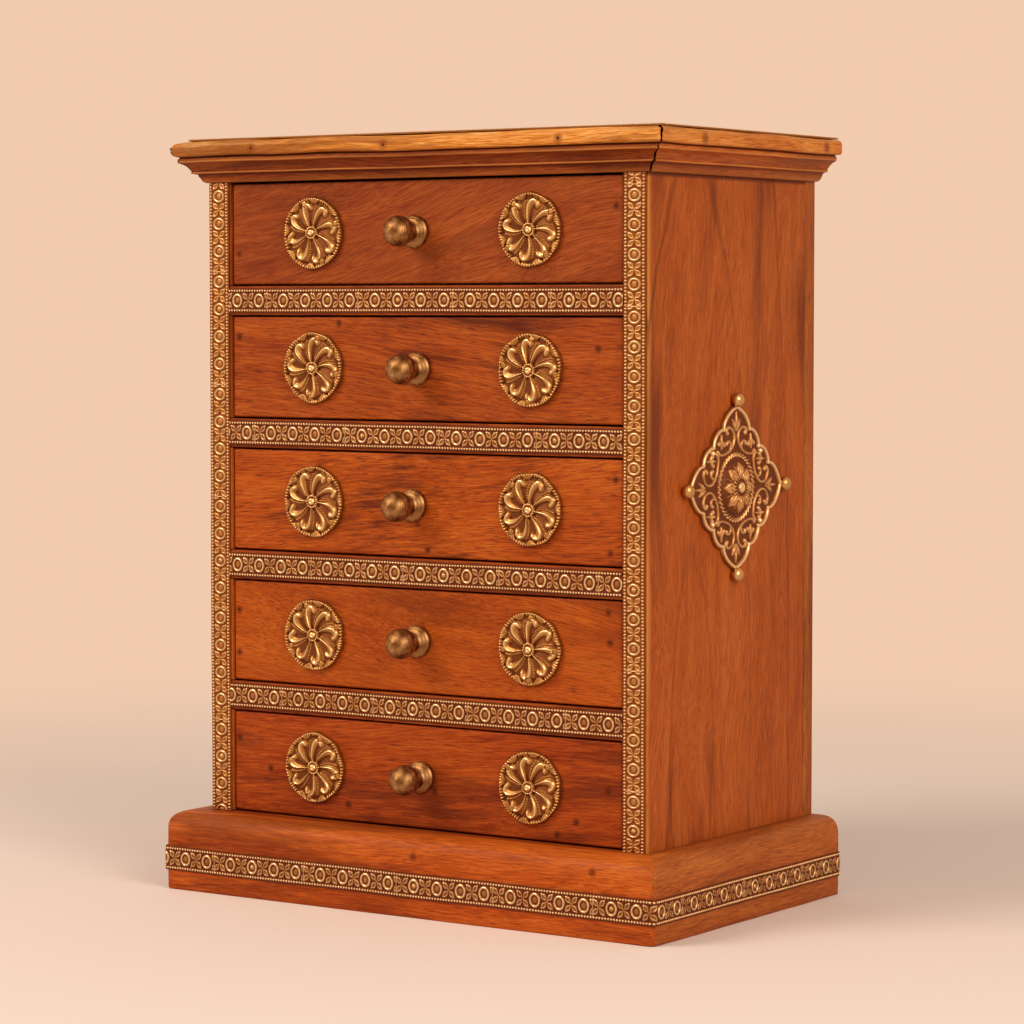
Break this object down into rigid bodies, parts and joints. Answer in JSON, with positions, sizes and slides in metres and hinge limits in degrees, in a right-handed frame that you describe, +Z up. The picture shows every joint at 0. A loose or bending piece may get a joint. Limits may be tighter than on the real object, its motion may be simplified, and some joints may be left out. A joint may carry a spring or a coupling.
{
  "type": "chest of drawers",
  "caption": "Table-top chest with a stack of sliding wooden drawers on a plinth under a cornice, trimmed with stamped brass strips, rosettes, side plaques and turned knobs.",
  "frame": {"origin": "on the floor, under the middle of the whole chest's box, knobs included", "axes": "+Z up, +X to the viewer's right, the drawers face and slide out along -Y"},
  "size_m": [0.2958, 0.1798, 0.3814],
  "materials": {
    "carcass_wood": "waxed satin teak, vertical grain",
    "cornice_wood": "waxed satin teak, lighter on the fascia",
    "plinth_wood": "waxed satin teak",
    "drawer_front_wood": "waxed satin teak, horizontal grain",
    "drawer_lining_wood": "plain sanded wood",
    "strip_brass": "stamped, dark in the hollows",
    "rosette_brass": "pressed, dark in the hollows",
    "plaque_brass": "pressed, dark in the hollows",
    "knob_brass": "turned, brown satin patina"
  },
  "bodies": {
    "carcass": {"side_panel_left": "carcass_wood", "side_panel_right": "carcass_wood", "back_panel": "carcass_wood", "top_board": "carcass_wood", "base_board": "carcass_wood", "divider_1": "carcass_wood", "divider_2": "carcass_wood", "divider_3": "carcass_wood", "divider_4": "carcass_wood", "cornice_front": "cornice_wood", "cornice_left": "cornice_wood", "cornice_right": "cornice_wood", "plinth_front": "plinth_wood", "plinth_left": "plinth_wood", "plinth_right": "plinth_wood", "face_strips": "strip_brass", "plinth_strip": "strip_brass", "top_strip": "strip_brass", "plaque_left": "plaque_brass", "plaque_right": "plaque_brass"},
    "drawer_1": {"drawer_1_front": "drawer_front_wood", "drawer_1_side_left": "drawer_lining_wood", "drawer_1_side_right": "drawer_lining_wood", "drawer_1_back": "drawer_lining_wood", "drawer_1_bottom": "drawer_lining_wood", "drawer_1_knob": "knob_brass", "rosette_1_left": "rosette_brass", "rosette_1_right": "rosette_brass"},
    "drawer_2": {"drawer_2_front": "drawer_front_wood", "drawer_2_side_left": "drawer_lining_wood", "drawer_2_side_right": "drawer_lining_wood", "drawer_2_back": "drawer_lining_wood", "drawer_2_bottom": "drawer_lining_wood", "drawer_2_knob": "knob_brass", "rosette_2_left": "rosette_brass", "rosette_2_right": "rosette_brass"},
    "drawer_3": {"drawer_3_front": "drawer_front_wood", "drawer_3_side_left": "drawer_lining_wood", "drawer_3_side_right": "drawer_lining_wood", "drawer_3_back": "drawer_lining_wood", "drawer_3_bottom": "drawer_lining_wood", "drawer_3_knob": "knob_brass", "rosette_3_left": "rosette_brass", "rosette_3_right": "rosette_brass"},
    "drawer_4": {"drawer_4_front": "drawer_front_wood", "drawer_4_side_left": "drawer_lining_wood", "drawer_4_side_right": "drawer_lining_wood", "drawer_4_back": "drawer_lining_wood", "drawer_4_bottom": "drawer_lining_wood", "drawer_4_knob": "knob_brass", "rosette_4_left": "rosette_brass", "rosette_4_right": "rosette_brass"},
    "drawer_5": {"drawer_5_front": "drawer_front_wood", "drawer_5_side_left": "drawer_lining_wood", "drawer_5_side_right": "drawer_lining_wood", "drawer_5_back": "drawer_lining_wood", "drawer_5_bottom": "drawer_lining_wood", "drawer_5_knob": "knob_brass", "rosette_5_left": "rosette_brass", "rosette_5_right": "rosette_brass"}
  },
  "joints": [
    {"name": "drawer_1_slide", "type": "slide", "parent": "carcass", "child": "drawer_1", "axis": [0, -1, 0], "range_m": [0, 0.1]},
    {"name": "drawer_2_slide", "type": "slide", "parent": "carcass", "child": "drawer_2", "axis": [0, -1, 0], "range_m": [0, 0.1]},
    {"name": "drawer_3_slide", "type": "slide", "parent": "carcass", "child": "drawer_3", "axis": [0, -1, 0], "range_m": [0, 0.1]},
    {"name": "drawer_4_slide", "type": "slide", "parent": "carcass", "child": "drawer_4", "axis": [0, -1, 0], "range_m": [0, 0.1]},
    {"name": "drawer_5_slide", "type": "slide", "parent": "carcass", "child": "drawer_5", "axis": [0, -1, 0], "range_m": [0, 0.1]}
  ]
}
